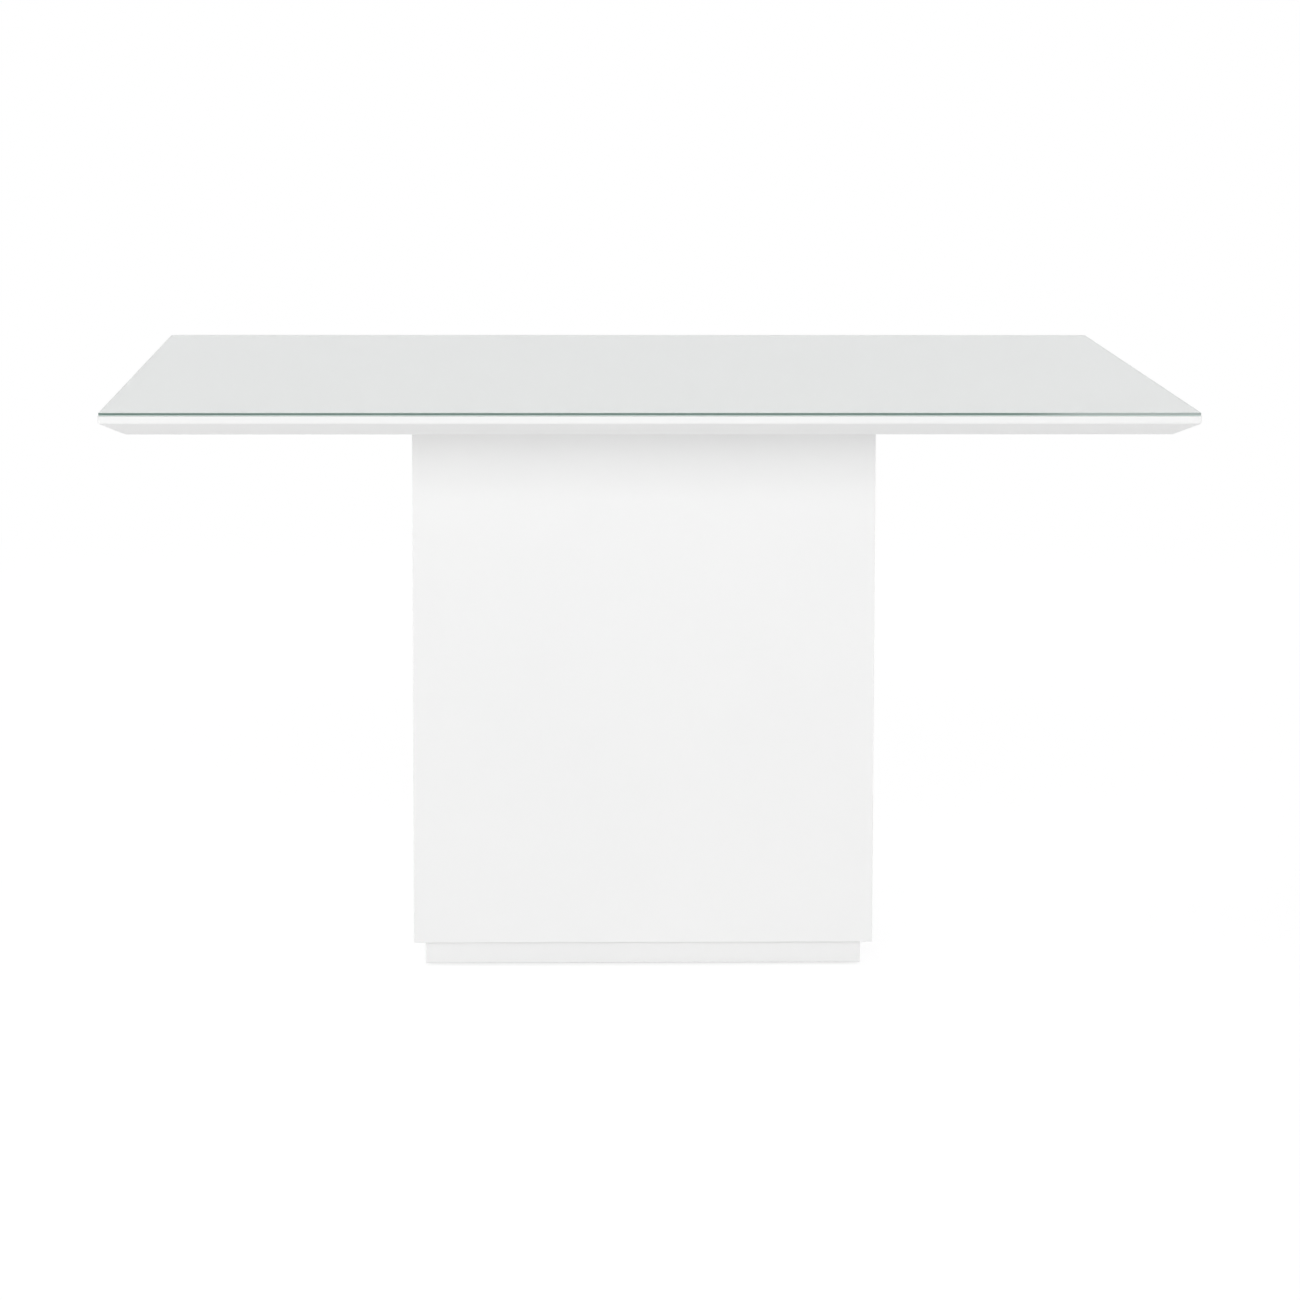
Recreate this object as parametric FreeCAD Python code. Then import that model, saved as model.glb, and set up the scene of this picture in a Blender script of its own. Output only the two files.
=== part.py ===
# Square pedestal dining table: a bevelled lacquered board under a bonded glass sheet, bolted to a hollow box
# column that stands on a recessed plinth. Millimetres, +Z up, origin on the floor under the centre of the
# table, front towards -Y.
import FreeCAD, Part
import math
import os

V = FreeCAD.Vector
ORIGIN = V(0, 0, 0)
UP = V(0, 0, 1)

# Whole table
TOP_SIDE = 1350.0  # width and depth of the square top
TABLE_HEIGHT = 760.0  # floor to the upper face of the glass

# Glass sheet
GLASS_THICKNESS = 4.0
GLASS_SETBACK = 1.0  # from the edge of the board in to the edge of the glass
GLASS_CORNER_RADIUS = 4.0
GLASS_ARRIS = 0.5  # ground chamfer round both faces

# Clear tape pads that bond the glass to the board
TAPE_THICKNESS = 0.2
TAPE_PAD_SIDE = 25.0
TAPE_PAD_MARGIN = 45.0  # from the edge of the glass to the centres of the outer pads
TAPE_PAD_PITCH = 320.0  # the pads lie no further apart than this

# Board of the top
BOARD_THICKNESS = 25.0
BOARD_BAND = 9.0  # upright part of the edge, above the bevel
BOARD_BEVEL_RUN = 32.0  # from the edge of the board in to the lower end of the bevel
BOARD_CORNER_RADIUS = 5.0  # in plan
BOARD_KNEE_RADIUS = 4.0  # between the band and the bevel
BOARD_HEEL_RADIUS = 3.0  # between the bevel and the underside
BOARD_ARRIS_RADIUS = 0.6  # between the band and the upper face

# Box column
COLUMN_SIDE = 600.0
COLUMN_WALL = 15.0
COLUMN_ARRIS_RADIUS = 0.8

# Framing inside the column
POST_SIDE = 40.0
CLEAT_SIDE = 30.0
BATTEN_EASE = 2.0  # planed edges of posts, cleats and blocks
PLATE_THICKNESS = 15.0

# Plinth
PLINTH_SHOW = 30.0  # height of the rails below the column
PLINTH_LAP = 58.0  # height of the rails inside the column
PLINTH_WALL = 15.0
PLINTH_EASE = 1.5  # rounding of the outer edges of the rails
BLOCK_SIDE = 40.0

# Floor glides
GLIDE_HEIGHT = 3.0
GLIDE_DIAMETER = 24.0
GLIDE_EASE = 1.0
NAIL_DIAMETER = 2.4
NAIL_HEAD_DIAMETER = 6.0
NAIL_HEAD_THICKNESS = 0.8
NAIL_COVER = 1.2  # plastic between the head of the nail and the block
NAIL_GRIP = 16.0  # length of the nail in the block
NAIL_POINT = 3.0

# Corner dowels of the column
DOWEL_DIAMETER = 8.0
DOWEL_EDGE_DEPTH = 22.0  # in the end of a side wall
DOWEL_SKIN = 5.0  # left in the front or back wall beyond the dowel
DOWEL_CHAMFER = 1.0
DOWEL_END_MARGIN = 60.0  # from the ends of the column to the nearest dowels
DOWEL_PITCH = 300.0  # the dowels lie no further apart than this

# Countersunk screws
SCREW_DIAMETER = 4.0
SCREW_HEAD_DIAMETER = 8.0
SCREW_POINT = 4.0
SCREW_SKIN = 5.0  # left in a wall beyond the screw
PLATE_SCREW_GRIP = 20.0  # length of a plate screw in the cleat
POST_SCREW_MARGIN = 100.0  # from the ends of a post to the screws of one direction
POST_SCREW_STAGGER = 40.0  # from those on to the screws of the other direction
CLEAT_SCREW_MARGIN = 50.0  # from the ends of a cleat to its screws
PLATE_SCREW_MARGIN = 110.0  # from the ends of a cleat to the plate screws
RAIL_SCREW_MARGIN = 40.0  # from the plinth blocks to the rail screws

# Bolts, washers and threaded inserts between plate and board
BOLT_DIAMETER = 6.0
BOLT_HEAD_DIAMETER = 12.0
BOLT_HEAD_HEIGHT = 3.6
BOLT_HEAD_RIM = 1.2  # upright part of the head, under its dome
BOLT_SOCKET = 4.0  # across the flats
BOLT_SOCKET_DEPTH = 2.2
BOLT_GRIP = 11.0  # length of a bolt in its insert
BOLT_MARGIN = 90.0  # from the inside of the column to the outer rows of bolts
BOLT_PITCH = 200.0  # the bolts of a row lie no further apart than this
WASHER_DIAMETER = 18.0
WASHER_THICKNESS = 1.6
INSERT_DIAMETER = 10.0
INSERT_LENGTH = 13.0

# Clearances
FASTENER_GAP = 0.1  # round a fastener in the hole that it grips
BOLT_CLEARANCE = 0.4  # round a bolt in the plate and the washer
INSERT_ROOM = 1.0  # above an insert in its blind hole
SAME_PLACE = 1e-4  # two places closer than this are one

# Flat sides that stand for the round of small pieces
FASTENER_FLAT_COUNT = 8
GLIDE_FLAT_COUNT = 16

# Levels and widths that follow
PLINTH_FOOT = GLIDE_HEIGHT
COLUMN_FOOT = PLINTH_FOOT + PLINTH_SHOW
POST_FOOT = COLUMN_FOOT + PLINTH_LAP
GLASS_FOOT = TABLE_HEIGHT - GLASS_THICKNESS
BOARD_TOP = GLASS_FOOT - TAPE_THICKNESS
BOARD_FOOT = BOARD_TOP - BOARD_THICKNESS
PLATE_FOOT = BOARD_FOOT - PLATE_THICKNESS
GLASS_SIDE = TOP_SIDE - 2 * GLASS_SETBACK
COLUMN_INSIDE = COLUMN_SIDE - 2 * COLUMN_WALL
PLINTH_INSIDE = COLUMN_INSIDE - 2 * PLINTH_WALL
CLEAT_LENGTH = COLUMN_INSIDE - 2 * POST_SIDE
HALF_INSIDE = COLUMN_INSIDE / 2
SIDES = ("front", "right", "back", "left")  # one quarter turn apart
CORNERS = ("front_left", "front_right", "back_right", "back_left")


def spread(half_span, pitch):
    """Evenly spaced places from -half_span to half_span, no further apart than the pitch."""
    steps = math.ceil(2 * half_span / pitch)
    return [half_span * (2 * i / steps - 1) for i in range(steps + 1)]


def rounded_outline(corners):
    """Closed wire through corners given as (point, radius), each rounded by a tangent arc unless it is 0."""
    arcs = []
    for i, (point, radius) in enumerate(corners):
        back = (corners[i - 1][0] - point).normalize()
        ahead = (corners[(i + 1) % len(corners)][0] - point).normalize()
        half_angle = back.getAngle(ahead) / 2
        reach = radius / math.tan(half_angle)
        middle = (back + ahead).normalize() * (radius / math.sin(half_angle) - radius)
        arcs.append((point + back * reach, point + middle, point + ahead * reach))
    edges = []
    for i, (start, middle, end) in enumerate(arcs):
        if corners[i][1] > 0:
            edges.append(Part.Arc(start, middle, end).toShape())
        edges.append(Part.LineSegment(end, arcs[(i + 1) % len(arcs)][0]).toShape())
    return Part.Wire(edges)


def rounded_bar(width, depth, height, radius, foot):
    """Upright bar centred on the Z axis, its plan corners rounded."""
    signs = ((-1, -1), (1, -1), (1, 1), (-1, 1))
    corners = [(V(x * width / 2, y * depth / 2, foot), radius) for x, y in signs]
    return Part.Face(rounded_outline(corners)).extrude(UP * height)


def batten(side, length, foot):
    """Upright square bar centred on the Z axis, its long edges planed off."""
    bar = plain_bar(side, side, length, 0, foot)
    ends = (-side / 2, side / 2)
    long_edges = [edge for x in ends for y in ends for edge in edges_on(bar, x=x, y=y)]
    return bar.makeChamfer(BATTEN_EASE, long_edges)


def plain_bar(width, depth, height, y, foot):
    """Square-edged bar centred on x = 0 and on the given y."""
    return Part.makeBox(width, depth, height, V(-width / 2, y - depth / 2, foot))


def turned_piece(profile, flats):
    """Small turned solid about Z from a closed run of (radius, height) points, with flats for its round."""
    angles = [2 * math.pi * i / flats for i in range(flats + 1)]
    faces = []
    for (r1, z1), (r2, z2) in zip(profile, profile[1:] + profile[:1]):
        for a, b in zip(angles, angles[1:]):
            corners = [(r1, a, z1), (r1, b, z1), (r2, b, z2), (r2, a, z2)]
            points = [V(r * math.cos(t), r * math.sin(t), z) for r, t, z in corners]
            ring = [p for i, p in enumerate(points) if not p.isEqual(points[i - 1], SAME_PLACE)]
            if len(ring) > 2:
                faces.append(Part.Face(Part.makePolygon(ring + ring[:1])))
    solid = Part.Solid(Part.Shell(faces)).removeSplitter()
    return solid.reversed() if solid.Volume < 0 else solid


def placed(shape, seat):
    """Copy of a shape with its origin at the seat's point and its +Z along the seat's direction."""
    point, direction = seat
    copy = shape.copy()
    copy.Placement = FreeCAD.Placement(point, FreeCAD.Rotation(UP, direction))
    return copy


def turned(shape, quarters):
    """Copy of a shape turned about Z by quarter turns."""
    copy = shape.copy()
    copy.rotate(ORIGIN, UP, 90 * quarters)
    return copy


def seats_all_round(seats, quarters=(0, 1, 2, 3)):
    """The seats of the front side, repeated by quarter turns about Z."""
    turns = [FreeCAD.Rotation(UP, 90 * quarter) for quarter in quarters]
    return [(turn.multVec(point), turn.multVec(way)) for turn in turns for point, way in seats]


def drilled(shape, holes):
    """The one solid that is left when the holes that reach a shape are cut out of it."""
    near = [hole for hole in holes if hole.BoundBox.intersect(shape.BoundBox)]
    return shape.cut(Part.makeCompound(near)).Solids[0] if near else shape


def edges_on(shape, **planes):
    """Edges of a shape that lie whole in the given planes, such as x=3 or z=10."""
    def lies(edge):
        box = edge.BoundBox
        spans = {"x": (box.XMin, box.XMax), "y": (box.YMin, box.YMax), "z": (box.ZMin, box.ZMax)}
        return all(abs(end - at) < SAME_PLACE for axis, at in planes.items() for end in spans[axis])
    return [edge for edge in shape.Edges if lies(edge)]


# Glass, tape and board

def glass_sheet():
    """Float-glass sheet with rounded plan corners and a ground arris round both faces."""
    sheet = rounded_bar(GLASS_SIDE, GLASS_SIDE, GLASS_THICKNESS, GLASS_CORNER_RADIUS, GLASS_FOOT)
    return sheet.makeChamfer(GLASS_ARRIS, edges_on(sheet, z=GLASS_FOOT) + edges_on(sheet, z=TABLE_HEIGHT))


def tape_pads():
    """Square pads in a grid under the whole sheet."""
    places = spread(GLASS_SIDE / 2 - TAPE_PAD_MARGIN, TAPE_PAD_PITCH)
    pad = plain_bar(TAPE_PAD_SIDE, TAPE_PAD_SIDE, TAPE_THICKNESS, 0, BOARD_TOP)
    return [pad.translated(V(x, y, 0)) for x in places for y in places]


def top_board(insert_holes):
    """Board whose edge section runs along both axes, so that the bevels meet in mitred hips."""
    half = TOP_SIDE / 2
    heel = half - BOARD_BEVEL_RUN
    knee_height = BOARD_TOP - BOARD_BAND
    section = rounded_outline([
        (V(-heel, -half, BOARD_FOOT), BOARD_HEEL_RADIUS),
        (V(heel, -half, BOARD_FOOT), BOARD_HEEL_RADIUS),
        (V(half, -half, knee_height), BOARD_KNEE_RADIUS),
        (V(half, -half, BOARD_TOP), 0),
        (V(-half, -half, BOARD_TOP), 0),
        (V(-half, -half, knee_height), BOARD_KNEE_RADIUS),
    ])
    along_y = Part.Face(section).extrude(V(0, TOP_SIDE, 0))
    plan = rounded_bar(TOP_SIDE, TOP_SIDE, BOARD_THICKNESS, BOARD_CORNER_RADIUS, BOARD_FOOT)
    board = along_y.common(turned(along_y, 1)).common(plan)
    return drilled(board.makeFillet(BOARD_ARRIS_RADIUS, edges_on(board, z=BOARD_TOP)), insert_holes)


# Bolted joint between plate and board

def bolt_places():
    """Points of the outer rows of the bolt grid."""
    outer = HALF_INSIDE - BOLT_MARGIN
    places = spread(outer, BOLT_PITCH)
    return [(x, y) for x in places for y in places if outer in (abs(x), abs(y))]


def bore(radius, depth):
    """Hole for a bolt or an insert, upwards from z = 0."""
    return turned_piece([(0, 0), (radius, 0), (radius, depth), (0, depth)], FASTENER_FLAT_COUNT)


def ring(inside, outside, height):
    """Ring round a bolt, upwards from z = 0, from its inner and outer radius."""
    return turned_piece([(inside, 0), (outside, 0), (outside, height), (inside, height)], FASTENER_FLAT_COUNT)


def insert():
    """Plain-bored threaded insert, standing on z = 0."""
    inside = BOLT_DIAMETER / 2 + FASTENER_GAP
    return ring(inside, INSERT_DIAMETER / 2, INSERT_LENGTH)


def washer():
    """Flat washer, standing on z = 0."""
    inside = BOLT_DIAMETER / 2 + BOLT_CLEARANCE
    return ring(inside, WASHER_DIAMETER / 2, WASHER_THICKNESS)


def bolt():
    """Button-head bolt with a hexagon socket: shank up +Z from z = 0, head below."""
    shank = BOLT_DIAMETER / 2
    rim = BOLT_HEAD_DIAMETER / 2
    length = WASHER_THICKNESS + PLATE_THICKNESS + BOLT_GRIP
    body = turned_piece([
        (0, length), (0, -BOLT_HEAD_HEIGHT), (shank, -BOLT_HEAD_HEIGHT), (rim, -BOLT_HEAD_RIM),
        (rim, 0), (shank, 0), (shank, length),
    ], FASTENER_FLAT_COUNT)
    reach = BOLT_SOCKET / math.sqrt(3)
    angles = [math.radians(60 * i) for i in range(7)]
    hexagon = [V(reach * math.cos(a), reach * math.sin(a), -BOLT_HEAD_HEIGHT) for a in angles]
    return body.cut(Part.Face(Part.makePolygon(hexagon)).extrude(UP * BOLT_SOCKET_DEPTH)).Solids[0]


def bolted_joint():
    """Solids of the joint, and the holes that it needs in the board and in the plate."""
    seat_height = PLATE_FOOT - WASHER_THICKNESS
    insert_bore = bore(INSERT_DIAMETER / 2 + FASTENER_GAP, INSERT_LENGTH + INSERT_ROOM)
    plate_bore = bore(BOLT_DIAMETER / 2 + BOLT_CLEARANCE, PLATE_THICKNESS)

    def in_grid(shape, height):
        return [placed(shape, (V(x, y, height), UP)) for x, y in bolt_places()]

    nodes = {
        "top_inserts": in_grid(insert(), BOARD_FOOT),
        "top_washers": in_grid(washer(), seat_height),
        "top_bolts": in_grid(bolt(), seat_height),
    }
    return nodes, in_grid(insert_bore, BOARD_FOOT), in_grid(plate_bore, PLATE_FOOT)


# Dowels and screws of the column

def screw(length, gap=0.0):
    """Countersunk screw along -Z, its head flush with z = 0. A gap grows it into the hole that it sits in."""
    head = SCREW_HEAD_DIAMETER / 2 + gap
    shank = SCREW_DIAMETER / 2 + gap
    profile = [(0, 0), (head, 0), (shank, shank - head), (shank, SCREW_POINT - length), (0, -length - gap)]
    return turned_piece(profile, FASTENER_FLAT_COUNT)


def dowel():
    """Chamfered dowel across a corner joint at z = 0, with the front or back wall towards +Z."""
    radius = DOWEL_DIAMETER / 2
    tip = radius - DOWEL_CHAMFER
    high = COLUMN_WALL - DOWEL_SKIN
    low = -DOWEL_EDGE_DEPTH
    return turned_piece([
        (0, low), (tip, low), (radius, low + DOWEL_CHAMFER),
        (radius, high - DOWEL_CHAMFER), (tip, high), (0, high),
    ], FASTENER_FLAT_COUNT)


def dowel_hole():
    """Plain hole round a dowel, through both walls of the joint."""
    radius = DOWEL_DIAMETER / 2 + FASTENER_GAP
    high = COLUMN_WALL - DOWEL_SKIN + FASTENER_GAP
    low = -DOWEL_EDGE_DEPTH - FASTENER_GAP
    return turned_piece([(0, low), (radius, low), (radius, high), (0, high)], FASTENER_FLAT_COUNT)


def fastened(solid, hole, seats):
    """Fasteners at their seats, and the holes that they sit in."""
    return [placed(solid, seat) for seat in seats], [placed(hole, seat) for seat in seats]


def dowel_seats():
    """Seats of the dowels in the four corner joints, pointing into the front and back walls."""
    mid_wall = (COLUMN_SIDE - COLUMN_WALL) / 2
    centre = (COLUMN_FOOT + BOARD_FOOT) / 2
    heights = spread((BOARD_FOOT - COLUMN_FOOT) / 2 - DOWEL_END_MARGIN, DOWEL_PITCH)
    front = [(V(x, -HALF_INSIDE, centre + z), V(0, -1, 0)) for x in (-mid_wall, mid_wall) for z in heights]
    return seats_all_round(front, quarters=(0, 2))


def post_screw_seats():
    """Seats on the two inner faces of each post, staggered so that the screws pass each other."""
    face = HALF_INSIDE - POST_SIDE
    axis = HALF_INSIDE - POST_SIDE / 2
    seats = []
    for margin, point, way in (
        (POST_SCREW_MARGIN, V(-axis, -face, 0), V(0, 1, 0)),
        (POST_SCREW_MARGIN + POST_SCREW_STAGGER, V(-face, -axis, 0), V(1, 0, 0)),
    ):
        seats += [(point + UP * height, way) for height in (POST_FOOT + margin, PLATE_FOOT - margin)]
    return seats_all_round(seats)


def cleat_screw_seats():
    """Seats on the inner faces of the cleats."""
    x = CLEAT_LENGTH / 2 - CLEAT_SCREW_MARGIN
    y = CLEAT_SIDE - HALF_INSIDE
    return seats_all_round([(V(at, y, PLATE_FOOT - CLEAT_SIDE / 2), V(0, 1, 0)) for at in (-x, x)])


def plate_screw_seats():
    """Seats in the upper face of the plate, over the cleats."""
    x = CLEAT_LENGTH / 2 - PLATE_SCREW_MARGIN
    y = CLEAT_SIDE / 2 - HALF_INSIDE
    return seats_all_round([(V(at, y, BOARD_FOOT), UP) for at in (-x, x)])


def rail_screw_seats():
    """Seats on the inner faces of the plinth rails, level with the middle of their lap."""
    x = PLINTH_INSIDE / 2 - BLOCK_SIDE - RAIL_SCREW_MARGIN
    y = PLINTH_WALL - HALF_INSIDE
    return seats_all_round([(V(at, y, COLUMN_FOOT + PLINTH_LAP / 2), V(0, 1, 0)) for at in (-x, x)])


def column_fasteners():
    """Fastener groups by node, and their holes by node."""
    to_wall = COLUMN_WALL - SCREW_SKIN
    screws = {
        "post_screws": (POST_SIDE + to_wall, post_screw_seats()),
        "cleat_screws": (CLEAT_SIDE + to_wall, cleat_screw_seats()),
        "plate_screws": (PLATE_THICKNESS + PLATE_SCREW_GRIP, plate_screw_seats()),
        "rail_screws": (PLINTH_WALL + to_wall, rail_screw_seats()),
    }
    solids, holes = {}, {}
    solids["corner_dowels"], holes["corner_dowels"] = fastened(dowel(), dowel_hole(), dowel_seats())
    for name, (length, seats) in screws.items():
        solids[name], holes[name] = fastened(screw(length), screw(length, FASTENER_GAP), seats)
    return solids, holes


# Column

def eased_wall(width, thickness, foot, height, outer_y, ease, end_eased):
    """Upright board of the front side, with its lower outer edge eased, and its outer ends where asked."""
    wall = plain_bar(width, thickness, height, outer_y + thickness / 2, foot)
    edges = edges_on(wall, y=outer_y, z=foot)
    if end_eased:
        for end in (-width / 2, width / 2):
            edges += edges_on(wall, x=end, y=outer_y) + edges_on(wall, x=end, z=foot)
    return wall.makeFillet(ease, edges)


def column_walls(holes):
    """Front and back walls over the full width, side walls between them."""
    kinds = ("corner_dowels", "post_screws", "cleat_screws", "rail_screws")
    reaching = [hole for kind in kinds for hole in holes[kind]]
    nodes = {}
    for quarter, side in enumerate(SIDES):
        full = side in ("front", "back")
        wall = eased_wall(
            COLUMN_SIDE if full else COLUMN_INSIDE, COLUMN_WALL, COLUMN_FOOT, BOARD_FOOT - COLUMN_FOOT,
            -COLUMN_SIDE / 2, COLUMN_ARRIS_RADIUS, full,
        )
        nodes[f"column_{side}_wall"] = [drilled(turned(wall, quarter), reaching)]
    return nodes


def column_framing(holes, bolt_holes):
    """Corner posts, cleats between them, and the bolting plate on top of both."""
    nodes = {}
    post = batten(POST_SIDE, PLATE_FOOT - POST_FOOT, POST_FOOT)
    post.translate(V(1, 1, 0) * (POST_SIDE / 2 - HALF_INSIDE))
    cleat = batten(CLEAT_SIDE, CLEAT_LENGTH, -CLEAT_LENGTH / 2)
    cleat.rotate(ORIGIN, V(0, 1, 0), 90)
    cleat.translate(V(0, CLEAT_SIDE / 2 - HALF_INSIDE, PLATE_FOOT - CLEAT_SIDE / 2))
    for quarter, (corner, side) in enumerate(zip(CORNERS, SIDES)):
        nodes[f"corner_post_{corner}"] = [drilled(turned(post, quarter), holes["post_screws"])]
        cleat_holes = holes["cleat_screws"] + holes["plate_screws"]
        nodes[f"top_cleat_{side}"] = [drilled(turned(cleat, quarter), cleat_holes)]
    plate = plain_bar(COLUMN_INSIDE, COLUMN_INSIDE, PLATE_THICKNESS, 0, PLATE_FOOT)
    nodes["bolting_plate"] = [drilled(plate, holes["plate_screws"] + bolt_holes)]
    return nodes


# Plinth and glides

def glide():
    """Plastic disc with an eased lower edge, recessed and bored for its nail, standing on z = 0."""
    rim = GLIDE_DIAMETER / 2
    shaft = NAIL_DIAMETER / 2 + FASTENER_GAP
    recess = NAIL_HEAD_DIAMETER / 2 + FASTENER_GAP
    ceiling = GLIDE_HEIGHT - NAIL_COVER
    return turned_piece([
        (shaft, ceiling), (recess, ceiling), (recess, 0), (rim - GLIDE_EASE, 0),
        (rim, GLIDE_EASE), (rim, GLIDE_HEIGHT), (shaft, GLIDE_HEIGHT),
    ], GLIDE_FLAT_COUNT)


def nail(gap=0.0):
    """Nail with its head under the ceiling of the glide's recess and its point up in the block."""
    shank = NAIL_DIAMETER / 2 + gap
    head = NAIL_HEAD_DIAMETER / 2
    ceiling = GLIDE_HEIGHT - NAIL_COVER
    tip = GLIDE_HEIGHT + NAIL_GRIP
    return turned_piece([
        (0, ceiling - NAIL_HEAD_THICKNESS), (head, ceiling - NAIL_HEAD_THICKNESS), (head, ceiling),
        (shank, ceiling), (shank, tip - NAIL_POINT), (0, tip + gap),
    ], FASTENER_FLAT_COUNT)


def plinth(holes):
    """Rails inside the foot of the column, corner blocks inside the rails, and glides under the blocks."""
    centre = PLINTH_INSIDE / 2 - BLOCK_SIDE / 2
    seats = seats_all_round([(V(-centre, -centre, 0), UP)])
    nails, nail_holes = fastened(nail(), nail(FASTENER_GAP), seats)
    nodes = {"floor_glides": [placed(glide(), seat) for seat in seats], "glide_nails": nails}
    height = PLINTH_SHOW + PLINTH_LAP
    block = batten(BLOCK_SIDE, height, PLINTH_FOOT)
    block.translate(V(-centre, -centre, 0))
    for quarter, (corner, side) in enumerate(zip(CORNERS, SIDES)):
        full = side in ("front", "back")
        rail = eased_wall(
            COLUMN_INSIDE if full else PLINTH_INSIDE, PLINTH_WALL, PLINTH_FOOT, height, -HALF_INSIDE,
            PLINTH_EASE, full,
        )
        nodes[f"plinth_{side}_rail"] = [drilled(turned(rail, quarter), holes["rail_screws"])]
        nodes[f"plinth_block_{corner}"] = [drilled(turned(block, quarter), nail_holes)]
    return nodes


def table():
    """Every node of the table with its solids."""
    bolted, insert_holes, bolt_holes = bolted_joint()
    fasteners, holes = column_fasteners()
    return {
        "glass_top": [glass_sheet()],
        "tape_pads": tape_pads(),
        "top_board": [top_board(insert_holes)],
        **bolted,
        **column_walls(holes),
        **column_framing(holes, bolt_holes),
        **plinth(holes),
        **fasteners,
    }


os.makedirs("parts", exist_ok=True)
for name, solids in table().items():
    shape = solids[0] if len(solids) == 1 else Part.makeCompound(solids)
    shape.exportStep(f"parts/{name}.step")
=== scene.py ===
# Looks of a square pedestal dining table: a lacquered board and box column under a sheet of float glass.
# Metres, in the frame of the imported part: +Z up, origin on the floor, front towards -Y.
import math

import bmesh
import bpy
from mathutils import Euler, Matrix, Vector


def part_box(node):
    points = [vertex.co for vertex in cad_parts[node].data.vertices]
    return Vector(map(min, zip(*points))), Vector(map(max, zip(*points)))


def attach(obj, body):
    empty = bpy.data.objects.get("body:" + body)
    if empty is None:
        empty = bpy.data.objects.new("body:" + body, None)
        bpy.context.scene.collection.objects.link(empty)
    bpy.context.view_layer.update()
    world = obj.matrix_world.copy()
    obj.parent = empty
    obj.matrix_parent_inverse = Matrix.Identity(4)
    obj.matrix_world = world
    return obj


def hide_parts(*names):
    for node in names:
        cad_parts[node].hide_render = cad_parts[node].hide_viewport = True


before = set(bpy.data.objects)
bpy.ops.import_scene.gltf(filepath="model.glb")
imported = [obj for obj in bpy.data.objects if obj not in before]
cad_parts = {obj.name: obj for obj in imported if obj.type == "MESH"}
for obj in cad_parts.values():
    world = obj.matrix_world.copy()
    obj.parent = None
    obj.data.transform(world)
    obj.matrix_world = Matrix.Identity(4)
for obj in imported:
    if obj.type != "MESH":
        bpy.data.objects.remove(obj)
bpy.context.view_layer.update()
scene = bpy.context.scene

# Camera, fitted to the corners of the top, the column and the plinth
CAMERA_PLACE = (-0.155, -7.081, 1.3068)
CAMERA_YAW = math.radians(1.378)  # to the right of +Y
CAMERA_PITCH = math.radians(7.457)  # down
CAMERA_ROLL = math.radians(0.110)
FRAME_PIXELS = 1300
FOCAL_PIXELS = 5262.4
SENSOR_WIDTH = 36.0  # mm

# Light: a bank of softboxes on each side, and the glow of the white surroundings
BANK_DISTANCE = 7.5
BANK_WIDTH = 6.0
BANK = {  # power in watts, and the heights that the softbox reaches from and to
    "low": (75, 0.05, 0.5),
    "mid": (92, 1.25, 2.0),
    "high": (70, 2.0, 3.0),
}
BANK_SHARE = {"front": 1.0, "right": 0.45, "back": 0.55, "left": 0.7}  # of those powers
WORLD_FILL = 0.495
# What gloss and glass show of the studio: rise of a direction over the horizon, and parts of white there
STUDIO_TONES = (0.02, 1.0), (0.06, 0.865), (0.35, 0.865), (0.75, 1.8)

# Floor
FLOOR_RADIUS = 400
FLOOR_SEGMENTS = 64
FLOOR_DROP = 0.0002  # below the glides, so that the two faces don't coincide
FLOOR_COLOUR = (0.95, 0.95, 0.95)
FLOOR_LEVEL = 0.66  # light on the open floor, in parts of white
FLOOR_SHADOW_SHARE = 0.2  # of the white, which the table's shadow can take away
FLOOR_SHADOW_FADE = 2.0, 5.0  # distances from the origin between which that share fades out

# Edges of the pieces
GLASS_CORNER_RADIUS = 0.004
GLASS_ARRIS = 0.0005
BOARD_BAND = 0.009  # upright part of the edge, above the bevel
BOARD_BEVEL_RUN = 0.032
BOARD_FLAT_INSET = 2 * BOARD_BEVEL_RUN  # from the board's edge in to the flat middle of its lower face
BOARD_CORNER_RADIUS = 0.005
BOARD_KNEE_RADIUS = 0.004
BOARD_HEEL_RADIUS = 0.003
BOARD_ARRIS_RADIUS = 0.0006
HIP_RADIUS = 0.0006  # least rounding of the mitred hips
WALL_EASE = 0.0008
RAIL_EASE = 0.0015
CORNER_STEPS = 10
ARC_STEPS = 6
EASE_STEPS = 5
SHARP_ANGLE = math.radians(35)
INWARD_COSINE = 0.9  # least cosine of a face that counts as looking inwards
LARGE_FACE_WEIGHT = 100  # in the normals of the edges between a flat face and a rounding

# Tape pads
PAD_CORNER_RADIUS = 0.002
PAD_SKIN = 0.00002  # of air above and below a pad

# Round pieces
TURN_STEPS = 16
DOME_STEPS = 4
GLIDE_STEPS = 48
SAME_PLACE = 1e-6

# Wood screws with raised countersunk heads
SCREW_HEAD_COVER = 0.00015  # from the hole's edge out to the edge of the head
SCREW_HEAD_RISE = 0.0007
SCREW_HEAD_RIM = 0.0024  # radius of the flat round the recess
SCREW_SHANK_RADIUS = 0.0015
SCREW_CORE_RADIUS = 0.0013
SCREW_CREST_RADIUS = 0.002
SCREW_PITCH = 0.0018
SCREW_PLAIN_SHARE = 0.35  # of the length, above the thread
SCREW_POINT = 0.004
CROSS_REACH = 0.0019
CROSS_HALF_ARM = 0.0005
CROSS_DEPTH = 0.0015
CROSS_TAPER = 0.7

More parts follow.
